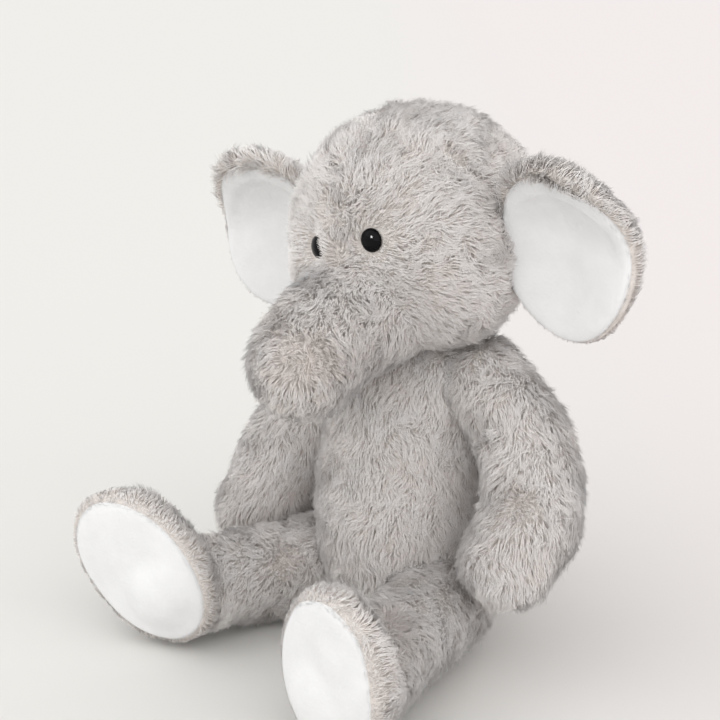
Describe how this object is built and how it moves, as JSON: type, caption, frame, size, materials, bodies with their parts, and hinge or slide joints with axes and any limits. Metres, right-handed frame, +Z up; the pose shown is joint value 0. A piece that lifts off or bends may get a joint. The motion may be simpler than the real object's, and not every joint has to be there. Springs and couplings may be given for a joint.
{
  "type": "plush elephant",
  "caption": "Seated stuffed elephant in long grey plush with white lined ears and soles, soft hanging trunk, floppy arms and splayed legs.",
  "frame": {"origin": "middle of the outer box, on the surface the toy sits on", "axes": "+Z up; the face looks along -Y; +X is the side of its own left arm"},
  "size_m": [0.226, 0.2084, 0.2269],
  "materials": {
    "grey_plush": "long soft pile, light warm grey",
    "white_lining": "short velour pile, white",
    "fibre_fill": "loose polyester fibre",
    "wadding": "sheet wadding",
    "eye_black": "glossy",
    "washer_plastic": "moulded",
    "thread": "twisted thread",
    "pouch_cloth": "plain weave",
    "pellets": "small smooth pellets",
    "label_tape": "woven tape, blank"
  },
  "bodies": {
    "torso": {"torso_cover": "grey_plush", "torso_stuffing": "fibre_fill", "pellet_pouch": "pouch_cloth", "pellet_fill": "pellets", "back_seam": "thread", "care_label": "label_tape"},
    "neck": {"neck_seam": "thread"},
    "head": {"head_cover": "grey_plush", "head_stuffing": "fibre_fill", "eye_left": "eye_black", "eye_left_washer": "washer_plastic", "eye_right": "eye_black", "eye_right_washer": "washer_plastic"},
    "trunk": {"trunk_cover": "grey_plush", "trunk_stuffing": "fibre_fill"},
    "ear_left": {"ear_left_lining": "white_lining", "ear_left_wadding": "wadding", "ear_left_back": "grey_plush"},
    "ear_right": {"ear_right_lining": "white_lining", "ear_right_wadding": "wadding", "ear_right_back": "grey_plush"},
    "arm_left": {"arm_left_cover": "grey_plush", "arm_left_stuffing": "fibre_fill"},
    "arm_right": {"arm_right_cover": "grey_plush", "arm_right_stuffing": "fibre_fill"},
    "leg_left": {"leg_left_cover": "grey_plush", "leg_left_stuffing": "fibre_fill", "sole_left": "white_lining"},
    "leg_right": {"leg_right_cover": "grey_plush", "leg_right_stuffing": "fibre_fill", "sole_right": "white_lining"},
    "tail": {"tail_cover": "grey_plush", "tail_tuft": "grey_plush"}
  },
  "joints": [
    {"name": "neck_turn", "type": "hinge", "parent": "torso", "child": "neck", "pos_m": [-0.00073, 0.02159, 0.133], "axis": [0, 0, 1], "range_deg": [-12, 12], "stiffness_Nm_per_rad": 0.2},
    {"name": "head_nod", "type": "hinge", "parent": "neck", "child": "head", "pos_m": [-0.00073, 0.02159, 0.133], "axis": [1, 0, 0], "range_deg": [-10, 10], "stiffness_Nm_per_rad": 0.8},
    {"name": "trunk_bend", "type": "hinge", "parent": "head", "child": "trunk", "pos_m": [0.00183, -0.00941, 0.15438], "axis": [-0.9945, 0, -0.1045], "range_deg": [-10, 10], "stiffness_Nm_per_rad": 0.08},
    {"name": "ear_left_flap", "type": "hinge", "parent": "head", "child": "ear_left", "pos_m": [0.04564, 0.02459, 0.17759], "axis": [0.1045, 0, -0.9945], "range_deg": [-20, 20], "stiffness_Nm_per_rad": 0.03},
    {"name": "ear_right_flap", "type": "hinge", "parent": "head", "child": "ear_right", "pos_m": [-0.04585, 0.02459, 0.16797], "axis": [-0.1045, 0, 0.9945], "range_deg": [-20, 20], "stiffness_Nm_per_rad": 0.03},
    {"name": "arm_left_swing", "type": "hinge", "parent": "torso", "child": "arm_left", "pos_m": [0.03527, 0.02459, 0.117], "axis": [1, 0, 0], "range_deg": [-50, 4], "stiffness_Nm_per_rad": 0.12},
    {"name": "arm_right_swing", "type": "hinge", "parent": "torso", "child": "arm_right", "pos_m": [-0.03673, 0.02459, 0.117], "axis": [1, 0, 0], "range_deg": [-50, 4], "stiffness_Nm_per_rad": 0.12},
    {"name": "leg_left_lift", "type": "hinge", "parent": "torso", "child": "leg_left", "pos_m": [0.03327, -0.00341, 0.021], "axis": [-0.9627, -0.2706, 0], "range_deg": [0, 18]},
    {"name": "leg_right_lift", "type": "hinge", "parent": "torso", "child": "leg_right", "pos_m": [-0.03373, 0.00559, 0.021], "axis": [-0.9478, 0.319, 0], "range_deg": [0, 18]},
    {"name": "tail_wag", "type": "hinge", "parent": "torso", "child": "tail", "pos_m": [-0.00073, 0.06359, 0.027], "axis": [0, 0, 1], "range_deg": [-25, 25], "stiffness_Nm_per_rad": 0.004}
  ]
}
